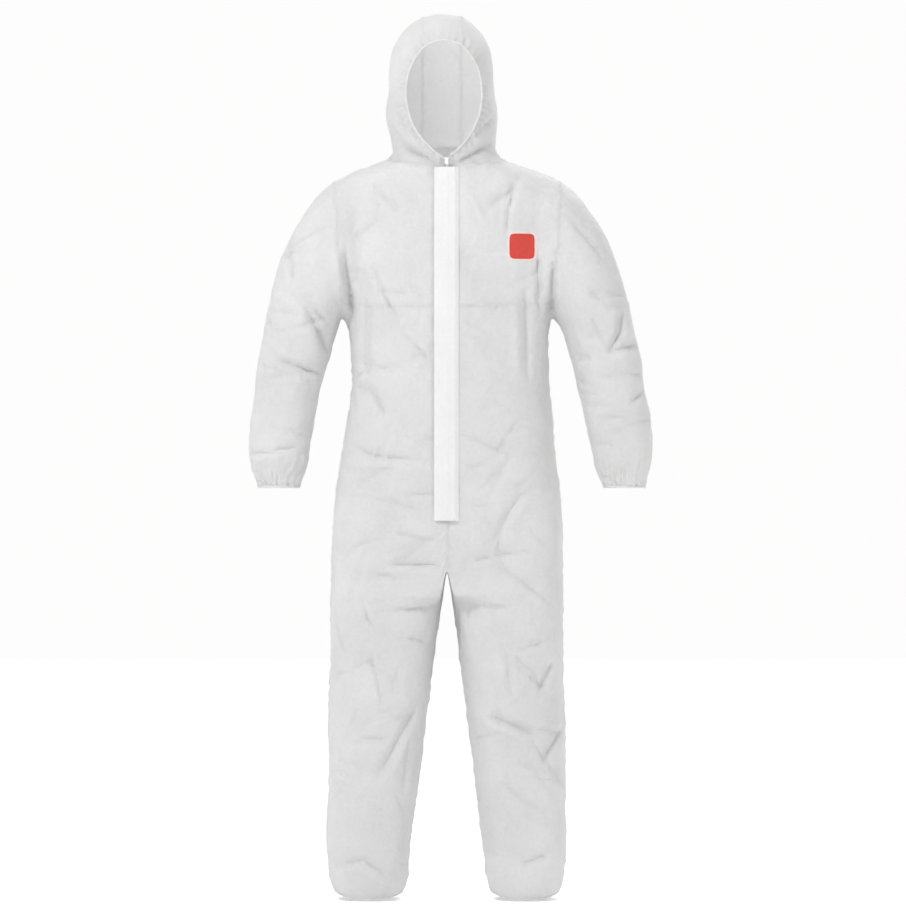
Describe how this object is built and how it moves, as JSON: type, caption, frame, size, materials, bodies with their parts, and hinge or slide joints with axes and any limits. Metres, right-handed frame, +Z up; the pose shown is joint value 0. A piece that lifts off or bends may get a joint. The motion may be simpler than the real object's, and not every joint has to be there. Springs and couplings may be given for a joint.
{
  "type": "protective coverall",
  "caption": "White hooded protective coverall with a zip under a storm flap and elasticated face opening, waist, cuffs and ankles.",
  "frame": {"origin": "middle of the suit at the level of the leg hems", "axes": "+X the wearer's left, -Y the front, +Z up"},
  "size_m": [0.806, 0.2602, 1.765],
  "materials": {
    "suit_fabric": "white nonwoven with a microporous film, crumpled, matt",
    "flap_fabric": "the same fabric doubled, so it looks brighter",
    "elastic": "white covered elastic",
    "zip_tape": "white woven polyester tape",
    "zip_nylon": "white nylon coil",
    "slider_enamel": "white enamel on cast zinc",
    "patch": "plain red heat-sealed patch with a pale edge",
    "label": "plain white satin label"
  },
  "bodies": {
    "torso": {"upper_front_right": "suit_fabric", "upper_front_left": "suit_fabric", "lower_front_right": "suit_fabric", "lower_front_left": "suit_fabric", "back_right": "suit_fabric", "back_left": "suit_fabric", "waist_elastic": "elastic", "size_label": "label", "chest_patch": "patch", "zip_tape_right": "zip_tape", "zip_tape_left": "zip_tape", "zip_teeth_right": "zip_nylon", "zip_teeth_left": "zip_nylon", "zip_bottom_stop": "zip_nylon"},
    "hood": {"hood_centre_panel": "suit_fabric", "hood_right_panel": "suit_fabric", "hood_left_panel": "suit_fabric", "face_elastic": "elastic"},
    "sleeve_right": {"sleeve_right_panel": "suit_fabric", "cuff_right_elastic": "elastic"},
    "sleeve_left": {"sleeve_left_panel": "suit_fabric", "cuff_left_elastic": "elastic"},
    "leg_right": {"leg_right_front": "suit_fabric", "leg_right_back": "suit_fabric", "ankle_right_elastic": "elastic"},
    "leg_left": {"leg_left_front": "suit_fabric", "leg_left_back": "suit_fabric", "ankle_left_elastic": "elastic"},
    "flap": {"storm_flap": "flap_fabric"},
    "slider": {"zip_slider": "slider_enamel"},
    "pull": {"zip_pull": "slider_enamel"}
  },
  "joints": [
    {"name": "hood_fold", "type": "hinge", "parent": "torso", "child": "hood", "pos_m": [0, 0.1075, 1.50365], "axis": [-1, 0, 0], "range_deg": [0, 70]},
    {"name": "sleeve_right_lift", "type": "hinge", "parent": "torso", "child": "sleeve_right", "pos_m": [-0.2265, 0, 1.438], "axis": [0, 1, 0], "range_deg": [0, 60]},
    {"name": "sleeve_left_lift", "type": "hinge", "parent": "torso", "child": "sleeve_left", "pos_m": [0.2265, 0, 1.438], "axis": [0, -1, 0], "range_deg": [0, 60]},
    {"name": "leg_right_swing", "type": "hinge", "parent": "torso", "child": "leg_right", "pos_m": [-0.115, -0.1245, 0.802], "axis": [-1, 0, 0], "range_deg": [0, 35]},
    {"name": "leg_left_swing", "type": "hinge", "parent": "torso", "child": "leg_left", "pos_m": [0.115, -0.1245, 0.802], "axis": [-1, 0, 0], "range_deg": [0, 35]},
    {"name": "flap_open", "type": "hinge", "parent": "torso", "child": "flap", "pos_m": [0.022, -0.11489, 1.10437], "axis": [0, 0.0342, 0.9994], "range_deg": [0, 150]},
    {"name": "zip_slide", "type": "slide", "parent": "torso", "child": "slider", "axis": [0, -0.0342, -0.9994], "range_m": [0, 0.688]},
    {"name": "pull_flip", "type": "hinge", "parent": "slider", "child": "pull", "pos_m": [0, -0.09987, 1.47207], "axis": [-1, 0, 0], "range_deg": [0, 180]}
  ]
}
